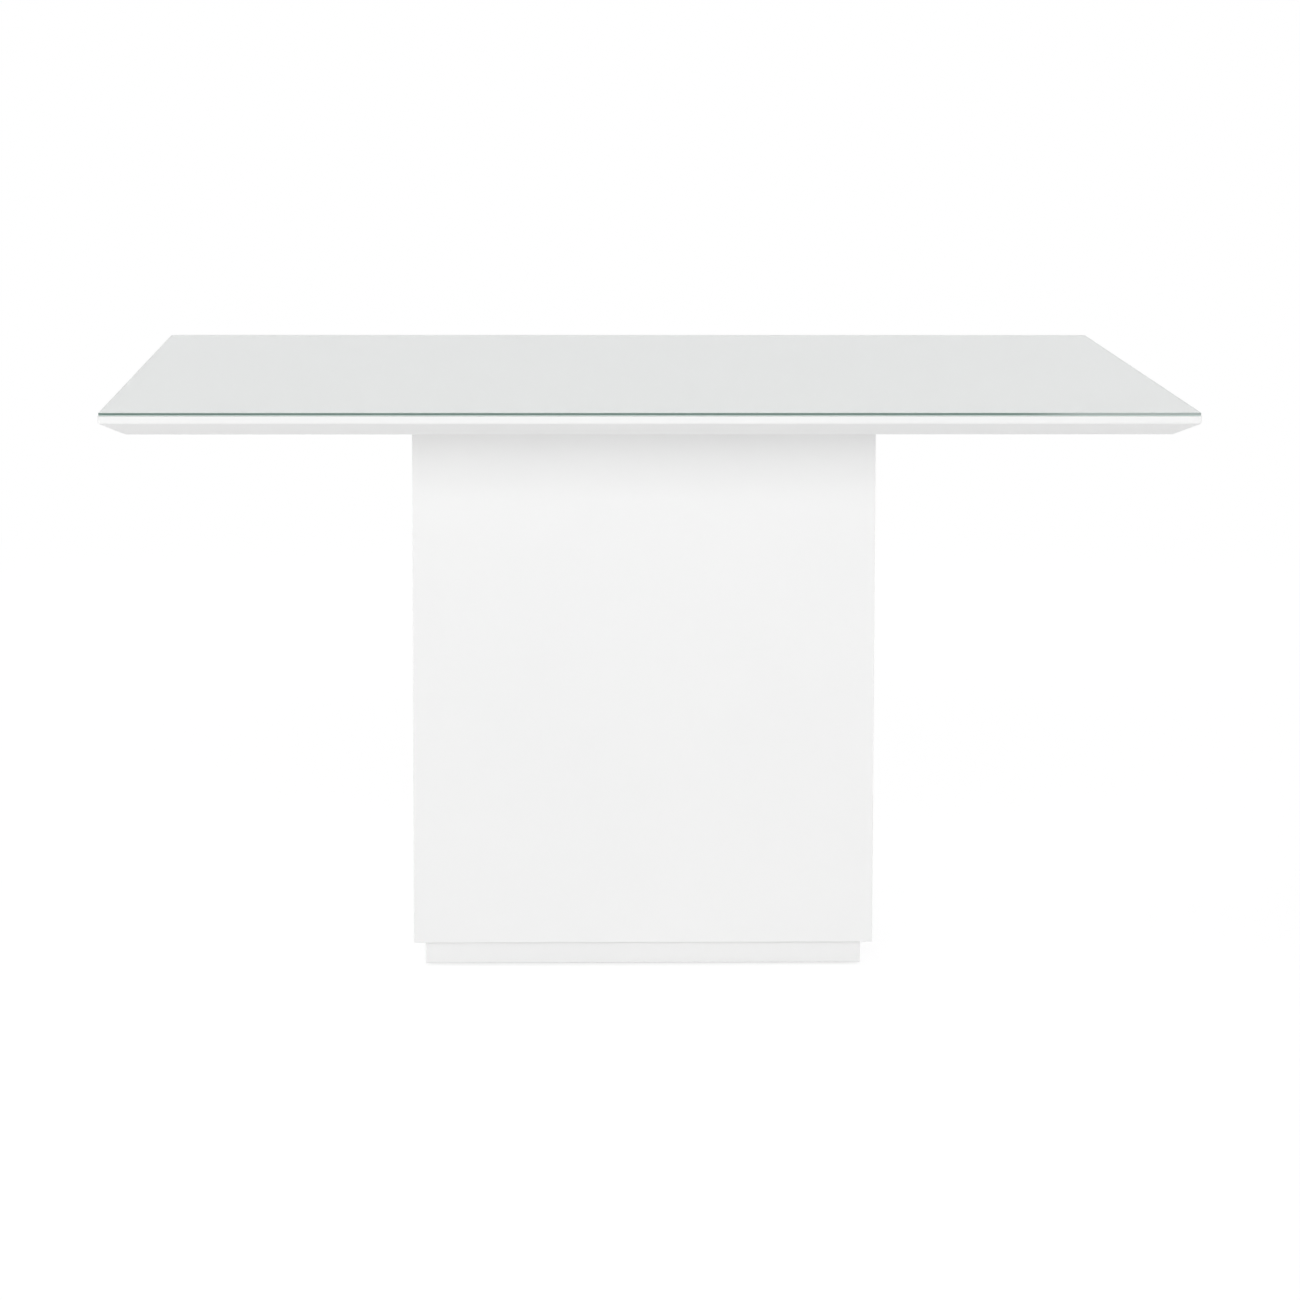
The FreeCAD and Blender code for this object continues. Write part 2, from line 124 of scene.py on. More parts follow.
# Button-head bolts, their washers and inserts
BOLT_HEAD_HEIGHT = 0.0036
BOLT_HEAD_DOME = 0.0024
BOLT_HEAD_RIM = 0.0027
BOLT_SOCKET_REACH = 0.004 / math.sqrt(3)
BOLT_SOCKET_DEPTH = 0.0022
BOLT_RADIUS = 0.003
BOLT_CORE_RADIUS = 0.0025
BOLT_PITCH = 0.001
BOLT_PLAIN = 0.006  # length of the shank under the head
BOLT_CHAMFER = 0.0006
WASHER_BORE_RADIUS = 0.0034
WASHER_EDGE = 0.0002
INSERT_BORE_RADIUS = 0.0031
INSERT_CORE_RADIUS = 0.0042
INSERT_PITCH = 0.002
INSERT_FLANGE = 0.001
INSERT_MOUTH = 0.0003

# Dowels, glides and nails
DOWEL_CHAMFER = 0.001
DOWEL_FLUTE = 0.0003
DOWEL_STEPS = 48
FLUTE_STEPS = 3
GLIDE_EASE = 0.001
GLIDE_RECESS_RADIUS = 0.0031
GLIDE_RECESS = 0.0018
NAIL_BORE_RADIUS = 0.0013
NAIL_SHANK_RADIUS = 0.0012
NAIL_HEAD_THICKNESS = 0.0008
NAIL_HEAD_EASE = 0.0003
NAIL_POINT = 0.003

# Finishes: colours along the texture that drives them, and heights of the relief
BLACK = (0, 0, 0)
WHITE = (1, 1, 1)
LACQUER_COLOURS = (0.855, 0.857, 0.856), (0.873, 0.873, 0.87)
LACQUER_PEEL = 0.00002
FIBREBOARD_COLOURS = (0.33, 0.215, 0.12), (0.5, 0.36, 0.225)
FIBREBOARD_NAP = 0.00006
GLASS_IOR = 1.52
GLASS_TINT = (0.0, 0.6, 0.42)
GLASS_TINT_DENSITY = 6.0
GLASS_FACE_TILT = 0.85, 0.95  # upright part of the normal, from the ground edge to the polished faces
# ground edge: its own dark green, and the lighter tone that the painted reflection and the grain lead to
GLASS_EDGE_COLOURS = (0.14, 0.222, 0.193), (0.475, 0.525, 0.515)
GLASS_SHEEN_SPAN = 0.44, 0.54  # stretch of X over which a painted reflection lightens the ground edge
# how far the painted reflection lightens the ground edge
GLASS_SHEEN_STRENGTH = 0.9
GLASS_EDGE_GRAIN = 0.1
GLASS_EDGE_CLEARNESS = 0.3
# painted highlight: the light that the edge's upper and lower arrises catch
GLASS_HIGHLIGHT_COLOUR = (0.68, 0.79, 0.75)
GLASS_LOWER_HIGHLIGHT = 0.26, 0.4  # parts of the sheet's height in which the painted highlight of the lower arris fades out
GLASS_UPPER_HIGHLIGHT = 0.84, 0.95  # and the painted highlight of the upper arris fades in again
TAPE_IOR = 1.47
TAPE_ALPHA = 0.01
TAPE_COLOURS = (0.86, 0.88, 0.87), (0.95, 0.96, 0.95)
PINE_COLOURS = (0.71, 0.5, 0.28), (0.62, 0.41, 0.2), (0.42, 0.235, 0.095)
PINE_STRETCH = 0.05  # of the texture, along the grain
PINE_RING_POWER = 2.2  # over 1, so that the dark part of each ring is narrow
PINE_RELIEF = 0.0002
BEECH_COLOURS = (0.52, 0.32, 0.19), (0.7, 0.5, 0.34)
BEECH_STRETCH = (1, 0.08, 1)
BEECH_RELIEF = 0.0001
ZINC_COLOURS = (0.56, 0.58, 0.62), (0.7, 0.68, 0.62)
ZINC_RELIEF = 0.00001
NYLON_COLOURS = (0.5, 0.5, 0.49), (0.62, 0.62, 0.6)
NYLON_RELIEF = 0.00003

# Directions
DOWN = Vector((0, 0, -1))
OUTWARD = {
    "front": Vector((0, -1, 0)), "right": Vector((1, 0, 0)),
    "back": Vector((0, 1, 0)), "left": Vector((-1, 0, 0)),
}


# Node trees

class Nodes:
    """Node tree with short calls for the nodes that the materials share."""

    def __init__(self, tree):
        self.tree = tree
        tree.nodes.clear()

    def feed(self, socket, value):
        """Links a socket to another one, or sets it to a constant."""
        if isinstance(value, bpy.types.NodeSocket):
            self.tree.links.new(value, socket)
        else:
            socket.default_value = (*value, 1) if socket.type == "RGBA" else value

    def add(self, kind, inputs=None, **settings):
        node = self.tree.nodes.new(kind)
        for name, value in settings.items():
            setattr(node, name, value)
        for name, value in (inputs or {}).items():
            self.feed(node.inputs[name], value)
        return node

    def place(self, stretch=(1, 1, 1)):
        """Point on the surface in the part's frame, stretched along the axes."""
        point = self.add("ShaderNodeTexCoord").outputs["Object"]
        return self.add("ShaderNodeMapping", {"Vector": point, "Scale": stretch}).outputs["Vector"]

    def noise(self, scale, stretch=(1, 1, 1), detail=2.0, distortion=0.0):
        inputs = {"Vector": self.place(stretch), "Scale": scale, "Detail": detail, "Distortion": distortion}
        return self.add("ShaderNodeTexNoise", inputs).outputs["Fac"]

    def maths(self, operation, first, second=0.0, clamp=False):
        node = self.add("ShaderNodeMath", operation=operation, use_clamp=clamp)
        self.feed(node.inputs[0], first)
        self.feed(node.inputs[1], second)
        return node.outputs["Value"]

    def summed(self, first, first_share, second, second_share):
        """Sum of two values, each times its share."""
        shares = (first, first_share), (second, second_share)
        return self.maths("ADD", *(self.maths("MULTIPLY", *pair) for pair in shares))

    def span(self, factor, low, high, start=0.3, end=0.7, smooth=False):
        """Values from low to high while the factor goes from start to end."""
        inputs = {"Value": factor, "From Min": start, "From Max": end, "To Min": low, "To Max": high}
        kind = "SMOOTHSTEP" if smooth else "LINEAR"
        return self.add("ShaderNodeMapRange", inputs, interpolation_type=kind).outputs["Result"]

    def ramp(self, factor, *stops):
        """Colours at the stops, given as (place, colour)."""
        node = self.add("ShaderNodeValToRGB", {"Fac": factor})
        elements = node.color_ramp.elements
        for _ in stops[2:]:
            elements.new(0.5)
        for element, (place, colour) in zip(elements, stops):
            element.position = place
            element.color = (*colour, 1)
        return node.outputs["Color"]

    def tinted(self, factor, colours, start=0.35, end=0.65):
        """Colour that goes evenly through the given ones while the factor goes from start to end."""
        step = (end - start) / (len(colours) - 1)
        return self.ramp(factor, *((start + i * step, colour) for i, colour in enumerate(colours)))

    def blended(self, factor, first, second):
        """Colour between two colours."""
        node = self.add("ShaderNodeMix", data_type="RGBA")
        for socket, value in ((0, factor), (6, first), (7, second)):
            self.feed(node.inputs[socket], value)
        return node.outputs[2]

    def bump(self, height, depth):
        return self.add("ShaderNodeBump", {"Height": height, "Distance": depth}).outputs["Normal"]

    def shown(self):
        """1 on rays that show the background: from the camera, off gloss and through glass."""
        path = self.add("ShaderNodeLightPath").outputs
        some = self.maths("ADD", path["Is Camera Ray"], path["Is Glossy Ray"], clamp=True)
        return self.maths("ADD", some, path["Is Transmission Ray"], clamp=True)

    def mixed(self, factor, first, second):
        """Mix of two shader nodes."""
        node = self.add("ShaderNodeMixShader", {"Fac": factor})
        self.feed(node.inputs[1], first.outputs[0])
        self.feed(node.inputs[2], second.outputs[0])
        return node


def principled(name, **inputs):
    """New material: its node tree and its Principled shader with the given constant inputs."""
    material = bpy.data.materials.new(name)
    material.use_nodes = True
    nodes = Nodes(material.node_tree)
    shader = nodes.add("ShaderNodeBsdfPrincipled", inputs)
    output = nodes.add("ShaderNodeOutputMaterial", {"Surface": shader.outputs["BSDF"]})
    return material, nodes, shader.inputs, output.inputs


# Materials

def white_lacquer():
    """Sprayed satin lacquer: a slow drift of tone, uneven gloss and a fine orange peel."""
    material, nodes, surface, _ = principled("white_lacquer")
    drift = nodes.noise(scale=2.5)
    nodes.feed(surface["Base Color"], nodes.tinted(drift, LACQUER_COLOURS, start=0.3, end=0.7))
    nodes.feed(surface["Roughness"], nodes.span(nodes.noise(scale=35), low=0.3, high=0.38))
    nodes.feed(surface["Normal"], nodes.bump(nodes.noise(scale=420, detail=1), LACQUER_PEEL))
    return material


def raw_mdf():
    """Bare fibreboard: brown felted fibres, matt."""
    material, nodes, surface, _ = principled("raw_mdf")
    fibres = nodes.noise(scale=900, detail=4, distortion=0.8)
    clouds = nodes.noise(scale=14, detail=3)
    mottle = nodes.summed(fibres, 0.6, clouds, 0.4)
    nodes.feed(surface["Base Color"], nodes.tinted(mottle, FIBREBOARD_COLOURS))
    nodes.feed(surface["Roughness"], nodes.span(fibres, low=0.78, high=0.95))
    nodes.feed(surface["Normal"], nodes.bump(fibres, FIBREBOARD_NAP))
    return material


def float_glass():
    """Float glass, green by absorption: polished faces, a ground edge, pale painted highlights along its
    arrises, and a painted reflection lightening the edge towards +X.
    """
    material, nodes, surface, output = principled("float_glass", IOR=GLASS_IOR)
    lo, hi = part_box("glass_top")
    normal = nodes.add("ShaderNodeNewGeometry").outputs["True Normal"]
    tilt = nodes.maths("ABSOLUTE", nodes.add("ShaderNodeSeparateXYZ", {"Vector": normal}).outputs["Z"])
    place = nodes.add("ShaderNodeSeparateXYZ", {"Vector": nodes.place()}).outputs
    grain = nodes.noise(scale=300, detail=3)
    # painted reflection: the ground edge turns lighter towards +X, with random grain on top
    painted_sheen = nodes.span(place["X"], 0.0, GLASS_SHEEN_STRENGTH, *GLASS_SHEEN_SPAN, smooth=True)
    sheen_and_grain = nodes.maths("ADD", painted_sheen, nodes.span(grain, low=0.0, high=GLASS_EDGE_GRAIN))
    ground = nodes.tinted(sheen_and_grain, GLASS_EDGE_COLOURS, start=0.0, end=1.0)
    rise = nodes.span(place["Z"], low=0.0, high=1.0, start=lo.z, end=hi.z)
    # painted highlights: light bands near the bottom and the top of the ground edge
    arris_highlights = nodes.ramp(rise, *zip(GLASS_LOWER_HIGHLIGHT, (WHITE, BLACK)), *zip(GLASS_UPPER_HIGHLIGHT, (BLACK, WHITE)))
    faces = nodes.ramp(tilt, *zip(GLASS_FACE_TILT, (BLACK, WHITE)))
    edged = nodes.blended(arris_highlights, ground, GLASS_HIGHLIGHT_COLOUR)
    nodes.feed(surface["Base Color"], nodes.blended(faces, edged, WHITE))
    clear = nodes.span(faces, low=GLASS_EDGE_CLEARNESS, high=1.0, start=0.0, end=1.0)
    nodes.feed(surface["Transmission Weight"], clear)
    matt = nodes.span(faces, low=1.0, high=0.0, start=0.0, end=1.0)
    nodes.feed(surface["Roughness"], nodes.maths("MULTIPLY", matt, nodes.span(grain, low=0.3, high=0.45)))
    tint = {"Color": GLASS_TINT, "Density": GLASS_TINT_DENSITY}
    nodes.feed(output["Volume"], nodes.add("ShaderNodeVolumeAbsorption", tint).outputs["Volume"])
    return material


def clear_tape():
    """Clear acrylic pads, barely there, with a faint cloud of bubbles."""
    material, nodes, surface, _ = principled("clear_tape", IOR=TAPE_IOR, Alpha=TAPE_ALPHA)
    bubbles = nodes.noise(scale=900, detail=3)
    nodes.feed(surface["Base Color"], nodes.tinted(bubbles, TAPE_COLOURS, start=0.4, end=0.7))
    nodes.feed(surface["Roughness"], nodes.span(bubbles, low=0.1, high=0.3))
    return material


def planed_pine(name, axis):
    """Planed softwood with its grain along one axis: growth rings and fine fibres."""
    material, nodes, surface, _ = principled("planed_pine_" + name)
    stretch = [1.0, 1.0, 1.0]
    stretch[axis] = PINE_STRETCH
    inputs = {
        "Vector": nodes.place(stretch), "Scale": 75, "Distortion": 5, "Detail": 2, "Detail Scale": 0.7,
    }
    wave = nodes.add("ShaderNodeTexWave", inputs, wave_type="RINGS", rings_direction="XYZ"[axis])
    rings = nodes.maths("POWER", wave.outputs["Fac"], PINE_RING_POWER)
    fibres = nodes.noise(scale=1100, stretch=stretch, detail=3)
    figure = nodes.summed(rings, 0.75, fibres, 0.25)
    nodes.feed(surface["Base Color"], nodes.tinted(figure, PINE_COLOURS, start=0.1, end=0.9))
    nodes.feed(surface["Roughness"], nodes.span(fibres, low=0.5, high=0.7))
    nodes.feed(surface["Normal"], nodes.bump(figure, PINE_RELIEF))
    return material


def beech_dowel():
    """Turned beech: pinkish, with short dark flecks along the grain."""
    material, nodes, surface, _ = principled("beech_dowel")
    flecks = nodes.noise(scale=1500, stretch=BEECH_STRETCH)
    nodes.feed(surface["Base Color"], nodes.tinted(flecks, BEECH_COLOURS, end=0.5))
    nodes.feed(surface["Roughness"], nodes.span(flecks, low=0.7, high=0.55))
    nodes.feed(surface["Normal"], nodes.bump(flecks, BEECH_RELIEF))
    return material


def zinc_steel():
    """Zinc-plated steel: faint bluish and straw-coloured clouds, uneven gloss."""
    material, nodes, surface, _ = principled("zinc_steel", Metallic=1.0)
    clouds = nodes.noise(scale=180, detail=3)
    nodes.feed(surface["Base Color"], nodes.tinted(clouds, ZINC_COLOURS))
    nodes.feed(surface["Roughness"], nodes.span(nodes.noise(scale=900), low=0.25, high=0.45))
    nodes.feed(surface["Normal"], nodes.bump(nodes.noise(scale=2600, detail=1), ZINC_RELIEF))
    return material


def glide_plastic():
    """Moulded pale grey nylon, scuffed in places."""
    material, nodes, surface, _ = principled("glide_plastic")
    scuffs = nodes.noise(scale=160, detail=4, distortion=0.5)
    nodes.feed(surface["Base Color"], nodes.tinted(scuffs, NYLON_COLOURS))
    nodes.feed(surface["Roughness"], nodes.span(scuffs, low=0.38, high=0.6))
    nodes.feed(surface["Normal"], nodes.bump(nodes.noise(scale=1800), NYLON_RELIEF))
    return material


# Meshes

def filleted(corners):
    """Points of an open run of ((x, z), radius) corners, with the inner ones rounded."""
    points = [Vector(corners[0][0])]
    for (before, _), (corner, radius), (after, _) in zip(corners, corners[1:], corners[2:]):
        back = (Vector(before) - Vector(corner)).normalized()
        ahead = (Vector(after) - Vector(corner)).normalized()
        half = back.angle(ahead) / 2
        centre = Vector(corner) + (back + ahead).normalized() * (radius / math.sin(half))
        start = Vector(corner) + back * (radius / math.tan(half)) - centre
        turn = start.angle_signed(Vector(corner) + ahead * (radius / math.tan(half)) - centre)
        for i in range(ARC_STEPS + 1):
            points.append(centre + Matrix.Rotation(-turn * i / ARC_STEPS, 2) @ start)
    points.append(Vector(corners[-1][0]))
    return points


def plan_ring(half, radius):
    """Points round a square of the given half side, with rounded corners."""
    points = []
    centre = half - radius
    for quarter, (x, y) in enumerate(((1, 1), (-1, 1), (-1, -1), (1, -1))):
        for i in range(CORNER_STEPS + 1):
            angle = math.radians(90 * (quarter + i / CORNER_STEPS))
            points.append((x * centre + radius * math.cos(angle), y * centre + radius * math.sin(angle)))
    return points


def square_plate(profile, half, corner_radius):
    """Closed plate whose edge follows (inset, height) points from its lower face to its upper one."""
    bm = bmesh.new()
    rings = []
    for inset, height in profile:
        ring = plan_ring(half - inset, max(corner_radius - inset, HIP_RADIUS))
        rings.append([bm.verts.new((x, y, height)) for x, y in ring])
    for low, high in zip(rings, rings[1:]):
        for i in range(len(low)):
            bm.faces.new((low[i - 1], low[i], high[i], high[i - 1]))
    bm.faces.new(rings[0][::-1])
    bm.faces.new(rings[-1])
    return bm


def eased_board(node, outward, ease, ends):
    """Upright board in a node's box, its lower outer edge eased, and its end edges where asked."""
    lo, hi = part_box(node)
    centre = (lo + hi) / 2
    bm = bmesh.new()
    bmesh.ops.create_cube(bm, size=1, matrix=Matrix.Translation(centre) @ Matrix.Diagonal((*(hi - lo), 1)))
    along = outward.cross(DOWN)
    ways = [outward, DOWN, along, -along] if ends else [outward, DOWN]

    def sides(edge):
        return sum(all((v.co - centre).dot(way) > 0 for v in edge.verts) for way in ways)

    eased = [edge for edge in bm.edges if sides(edge) > 1]
    bmesh.ops.bevel(bm, geom=eased, offset=ease, segments=EASE_STEPS, profile=0.5, affect="EDGES")
    return bm


def piece(bm, node, materials, inner=None):
    """Shown piece that stands for a node. Faces that look along inner get the second material."""
    bmesh.ops.recalc_face_normals(bm, faces=bm.faces[:])
    mesh = bpy.data.meshes.new("shown_" + node)
    for face in bm.faces:
        face.smooth = True
        face.material_index = int(inner is not None and face.normal.dot(inner) > INWARD_COSINE)
    bm.to_mesh(mesh)
    bm.free()
    mesh.set_sharp_from_angle(angle=SHARP_ANGLE)
    for material in materials:
        mesh.materials.append(material)
    shown = bpy.data.objects.new("shown_" + node, mesh)
    scene.collection.objects.link(shown)
    normals = shown.modifiers.new("flat faces stay flat", "WEIGHTED_NORMAL")
    normals.keep_sharp = True
    normals.weight = LARGE_FACE_WEIGHT
    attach(shown, "root")
    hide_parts(node)


def make_top(lacquer, glass):
    lo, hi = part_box("top_board")
    profile = filleted([
        ((BOARD_FLAT_INSET, lo.z), 0), ((BOARD_BEVEL_RUN, lo.z), BOARD_HEEL_RADIUS),
        ((0, hi.z - BOARD_BAND), BOARD_KNEE_RADIUS), ((0, hi.z), BOARD_ARRIS_RADIUS),
        ((BOARD_BEVEL_RUN, hi.z), 0),
    ])
    piece(square_plate(profile, hi.x, BOARD_CORNER_RADIUS), "top_board", [lacquer])
    lo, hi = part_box("glass_top")
    profile = [(GLASS_ARRIS, lo.z), (0, lo.z + GLASS_ARRIS), (0, hi.z - GLASS_ARRIS), (GLASS_ARRIS, hi.z)]
    piece(square_plate(profile, hi.x, GLASS_CORNER_RADIUS), "glass_top", [glass])


def make_column(lacquer, bare):
    for side, outward in OUTWARD.items():
        ends_show = side in ("front", "back")
        for node, ease in ((f"column_{side}_wall", WALL_EASE), (f"plinth_{side}_rail", RAIL_EASE)):
            board = eased_board(node, outward, ease, ends_show)
            piece(board, node, [lacquer, bare], inner=-outward)


# Round pieces, drawn along -Z from the middle of their heads

def domed(rim, radius, top, drop):
    """Section of a dome, from the rim of its flat top out to its full radius."""
    turns = [math.pi / 2 * i / DOME_STEPS for i in range(DOME_STEPS + 1)]
    return [(rim + (radius - rim) * math.sin(t), top - drop * (1 - math.cos(t))) for t in turns]


def turned(bm, profile, steps=TURN_STEPS, flute=0.0):
    """Adds a surface turned from (radius, height) points, with flutes along it where they have a depth."""
    rings = []
    for radius, height in profile:
        ring = []
        for i in range(steps if radius else 1):
            angle = 2 * math.pi * i / steps
            reach = radius - (flute if radius and i % FLUTE_STEPS == 0 else 0)
            ring.append(bm.verts.new((reach * math.cos(angle), reach * math.sin(angle), height)))
        rings.append(ring)
    for first, second in zip(rings, rings[1:]):
        for i in range(max(len(first), len(second))):
            places = ((first, i), (first, i + 1), (second, i + 1), (second, i))
            bm.faces.new(list(dict.fromkeys(ring[k % len(ring)] for ring, k in places)))


def threaded(bm, core, crest, pitch, low, high):
    """Adds a threaded surface between two heights, which starts and ends as a ring of the core."""
    rows = (core, core, crest)
    lines = []
    for row in range(-len(rows), len(rows) * (math.ceil((high - low) / pitch) + 1)):
        line = []
        for i in range(TURN_STEPS + 1):
            height = low + pitch * (row / len(rows) + i / TURN_STEPS)
            radius = rows[row % len(rows)] if low < height < high else core
            angle = 2 * math.pi * i / TURN_STEPS
            clamped = min(max(height, low), high)
            line.append(bm.verts.new((radius * math.cos(angle), radius * math.sin(angle), clamped)))
        lines.append(line)
    for first, second in zip(lines, lines[1:]):
        for i in range(TURN_STEPS):
            bm.faces.new((first[i], first[i + 1], second[i + 1], second[i]))


def socketed(bm, outline, rim, top, depth, taper):
    """Adds the flat of a head from its rim in to a socket's outline, and the socket's walls and floor."""
    turns = [2 * math.pi * i / TURN_STEPS for i in range(TURN_STEPS)]
    ring = [bm.verts.new((rim * math.cos(t), rim * math.sin(t), top)) for t in turns]
    mouth = [bm.verts.new((x, y, top)) for x, y in outline]
    floor = [bm.verts.new((x * taper, y * taper, top - depth)) for x, y in outline]
    edges = [bm.edges.new((loop[i - 1], loop[i])) for loop in (ring, mouth) for i in range(len(loop))]
    bmesh.ops.triangle_fill(bm, use_beauty=True, edges=edges, normal=(0, 0, 1))
    for i in range(len(outline)):
        bm.faces.new((mouth[i - 1], mouth[i], floor[i], floor[i - 1]))
    bm.faces.new(floor)


def cross_outline():
    arm = [(CROSS_REACH, -CROSS_HALF_ARM), (CROSS_REACH, CROSS_HALF_ARM), (CROSS_HALF_ARM, CROSS_HALF_ARM)]
    outline = []
    for _ in range(4):
        outline += arm
        arm = [(-y, x) for x, y in arm]
    return outline


def hexagon_outline(reach):
    turns = [math.radians(60 * i) for i in range(6)]
    return [(reach * math.cos(t), reach * math.sin(t)) for t in turns]


def screw(bm, length, width, rise=SCREW_HEAD_RISE):
    head = width / 2 + SCREW_HEAD_COVER
    plain_end = -SCREW_PLAIN_SHARE * length
    thread_end = SCREW_POINT - length
    socketed(bm, cross_outline(), SCREW_HEAD_RIM, rise, CROSS_DEPTH, CROSS_TAPER)
    turned(bm, domed(SCREW_HEAD_RIM, head, rise, rise) + [
        (SCREW_SHANK_RADIUS, SCREW_SHANK_RADIUS - head), (SCREW_SHANK_RADIUS, plain_end),
        (SCREW_CORE_RADIUS, plain_end),
    ])
    threaded(bm, SCREW_CORE_RADIUS, SCREW_CREST_RADIUS, SCREW_PITCH, thread_end, plain_end)
    turned(bm, [(SCREW_CORE_RADIUS, thread_end), (0, -length)])


def flush_screw(bm, length, width):
    screw(bm, length, width, rise=0.0)


def bolt(bm, length, width):
    head = width / 2
    plain_end = -BOLT_HEAD_HEIGHT - BOLT_PLAIN
    thread_end = BOLT_CHAMFER - length
    outline = hexagon_outline(BOLT_SOCKET_REACH)
    socketed(bm, outline, BOLT_HEAD_RIM, top=0, depth=BOLT_SOCKET_DEPTH, taper=1)
    turned(bm, domed(BOLT_HEAD_RIM, head, 0, BOLT_HEAD_DOME) + [
        (head, -BOLT_HEAD_HEIGHT), (BOLT_RADIUS, -BOLT_HEAD_HEIGHT), (BOLT_RADIUS, plain_end),
        (BOLT_CORE_RADIUS, plain_end),
    ])
    threaded(bm, BOLT_CORE_RADIUS, BOLT_RADIUS, BOLT_PITCH, thread_end, plain_end)
    turned(bm, [(BOLT_CORE_RADIUS, thread_end), (BOLT_CORE_RADIUS - BOLT_CHAMFER, -length), (0, -length)])


def washer(bm, length, width):
    inner = WASHER_BORE_RADIUS
    outer = width / 2
    edge = WASHER_EDGE
    turned(bm, [
        (inner, -edge), (inner + edge, 0), (outer - edge, 0), (outer, -edge), (outer, edge - length),
        (outer - edge, -length), (inner + edge, -length), (inner, edge - length), (inner, -edge),
    ])


def insert(bm, length, width):
    outer = width / 2
    mouth = INSERT_BORE_RADIUS + INSERT_MOUTH
    threaded(bm, INSERT_CORE_RADIUS, outer, INSERT_PITCH, -length, -INSERT_FLANGE)
    turned(bm, [
        (INSERT_CORE_RADIUS, -INSERT_FLANGE), (outer, -INSERT_FLANGE), (outer, 0), (mouth, 0),
        (INSERT_BORE_RADIUS, -INSERT_MOUTH), (INSERT_BORE_RADIUS, -length), (INSERT_CORE_RADIUS, -length),
    ])


def dowel(bm, length, width):
    radius = width / 2
    tip = radius - DOWEL_CHAMFER
    turned(bm, [
        (0, 0), (tip, 0), (radius, -DOWEL_CHAMFER),
        (radius, DOWEL_CHAMFER - length), (tip, -length), (0, -length),
    ], DOWEL_STEPS, DOWEL_FLUTE)


def glide(bm, length, width):
    outer = width / 2
    turned(bm, [
        (NAIL_BORE_RADIUS, -GLIDE_RECESS), (GLIDE_RECESS_RADIUS, -GLIDE_RECESS), (GLIDE_RECESS_RADIUS, 0),
        *domed(outer - GLIDE_EASE, outer, 0, GLIDE_EASE),
        (outer, -length), (NAIL_BORE_RADIUS, -length), (NAIL_BORE_RADIUS, -GLIDE_RECESS),
    ], GLIDE_STEPS)


def nail(bm, length, width):
    head = width / 2
    turned(bm, [
        (0, 0), *domed(head - NAIL_HEAD_EASE, head, 0, NAIL_HEAD_EASE), (head, -NAIL_HEAD_THICKNESS),
        (NAIL_SHANK_RADIUS, -NAIL_HEAD_THICKNESS), (NAIL_SHANK_RADIUS, NAIL_POINT - length), (0, -length),
    ])


def tape_pad(bm, length, width):
    pad = square_plate([(0, PAD_SKIN - length), (0, -PAD_SKIN)], width / 2, PAD_CORNER_RADIUS)
    added_to(bm, pad, Matrix())


# Groups of like pieces

def added_to(whole, part, place):
    """Moves a mesh to its place in another one."""
    mesh = bpy.data.meshes.new("part")
    part.to_mesh(mesh)
    part.free()
    mesh.transform(place)
    whole.from_mesh(mesh)
    bpy.data.meshes.remove(mesh)


def solids(node):
    """Corner points of each separate solid of a node."""
    bm = bmesh.new()
    bm.from_mesh(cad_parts[node].data)
    bmesh.ops.remove_doubles(bm, verts=bm.verts[:], dist=SAME_PLACE)
    for vert in bm.verts:
        vert.tag = False
    found = []
    for first in bm.verts:
        reached = [] if first.tag else [first]
        for vert in reached:
            vert.tag = True
            near = [edge.other_vert(vert) for edge in vert.link_edges]
            reached += [other for other in near if not other.tag]
            for other in near:
                other.tag = True
        if reached:
            found.append([vert.co.copy() for vert in reached])
    bm.free()
    return found


def seat(points):
    """Place of a solid, with +Z out of its head, the end with more corners, and its length and width."""
    lo = Vector([min(values) for values in zip(*points)])
    hi = Vector([max(values) for values in zip(*points)])
    size = hi - lo
    thin, middle, long = sorted(range(3), key=lambda i: size[i])
    axis = long if size[long] - size[middle] > size[middle] - size[thin] else thin
    low_count, high_count = (sum(abs(p[axis] - end[axis]) < SAME_PLACE for p in points) for end in (lo, hi))
    way = Vector((0, 0, 0))
    way[axis] = 1 if high_count > low_count else -1
    head = (lo + hi) / 2 + way * size[axis] / 2
    turn = way.to_track_quat("Z", "Y").to_matrix().to_4x4()
    return Matrix.Translation(head) @ turn, size[axis], size[middle]


def group(node, material, draw):
    """One shown piece for the like solids of a node, each drawn at its own seat."""
    whole = bmesh.new()
    for points in solids(node):
        place, length, width = seat(points)
        bm = bmesh.new()
        draw(bm, length, width)
        bmesh.ops.remove_doubles(bm, verts=bm.verts[:], dist=SAME_PLACE)
        added_to(whole, bm, place)
    piece(whole, node, [material])


def make_fasteners():
    steel = zinc_steel()
    drawn = {
        "post_screws": screw, "cleat_screws": screw, "rail_screws": screw, "plate_screws": flush_screw,
        "top_bolts": bolt, "top_washers": washer, "top_inserts": insert, "glide_nails": nail,
    }
    for node, draw in drawn.items():
        group(node, steel, draw)
    group("corner_dowels", beech_dowel(), dowel)
    group("floor_glides", glide_plastic(), glide)
    group("tape_pads", clear_tape(), tape_pad)


def finish_framing(bare):
    """Materials of the posts, blocks, cleats and plate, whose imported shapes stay."""
    upright, across, deep = planed_pine("upright", 2), planed_pine("across", 0), planed_pine("deep", 1)
    starts = {
        "corner_post": upright, "plinth_block": upright, "bolting_plate": bare,
        "top_cleat_front": across, "top_cleat_back": across,
        "top_cleat_left": deep, "top_cleat_right": deep,
    }
    for name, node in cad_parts.items():
        for start, material in starts.items():
            if name.startswith(start):
                node.material_slots[0].material = material


# Studio

